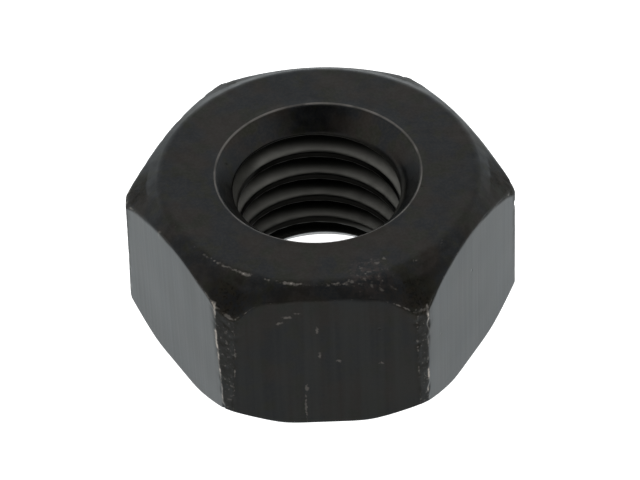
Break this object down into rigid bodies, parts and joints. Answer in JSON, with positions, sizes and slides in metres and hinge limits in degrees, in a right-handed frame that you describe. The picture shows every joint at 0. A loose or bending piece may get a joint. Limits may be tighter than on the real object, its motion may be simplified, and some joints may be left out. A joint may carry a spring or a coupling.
{
  "type": "hex nut",
  "caption": "Heavy hexagonal nut in blackened steel, chamfered on both ends, with a countersunk and threaded through hole for a half-inch coarse-thread bolt.",
  "frame": {"origin": "middle of the thread's axis in the plane of the underside", "axes": "+Z along the thread's axis, up from the underside to the top face; +X across two opposite corners; two of the flats face +Y and -Y"},
  "size_m": [0.0254, 0.0222, 0.0118],
  "materials": {
    "black_steel": "black oxide, satin, lightly worn on its edges"
  },
  "bodies": {
    "root": {"hex_nut": "black_steel"}
  },
  "joints": []
}
